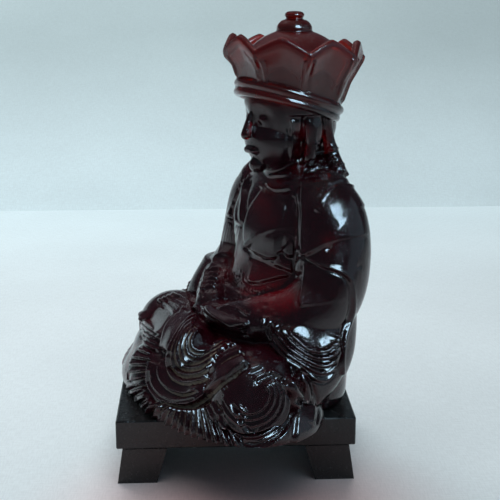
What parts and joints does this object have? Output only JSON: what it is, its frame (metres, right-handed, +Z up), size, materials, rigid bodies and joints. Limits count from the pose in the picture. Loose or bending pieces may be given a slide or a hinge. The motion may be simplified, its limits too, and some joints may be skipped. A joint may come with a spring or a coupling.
{
  "type": "seated crowned buddha figurine on a small stand",
  "caption": "Seated crowned buddha figure in glossy dark amber resin, robed, hands in its lap, resting turned on a low black board with two splayed feet.",
  "frame": {"origin": "centre of the whole object's box, on the surface that the stand's feet rest on", "axes": "+Z up, +X along the stand's board towards its right end as seen from the front, +Y from the front edge of the board to its back edge; the figure is turned 64 degrees to the left of -Y"},
  "size_m": [0.0752, 0.0846, 0.1299],
  "materials": {
    "amber_resin": "polished translucent dark cherry amber resin",
    "black_lacquer": "glossy black lacquered board"
  },
  "bodies": {
    "root": {"figure": "amber_resin", "stand_top": "black_lacquer", "foot_left": "black_lacquer", "foot_right": "black_lacquer"}
  },
  "joints": []
}
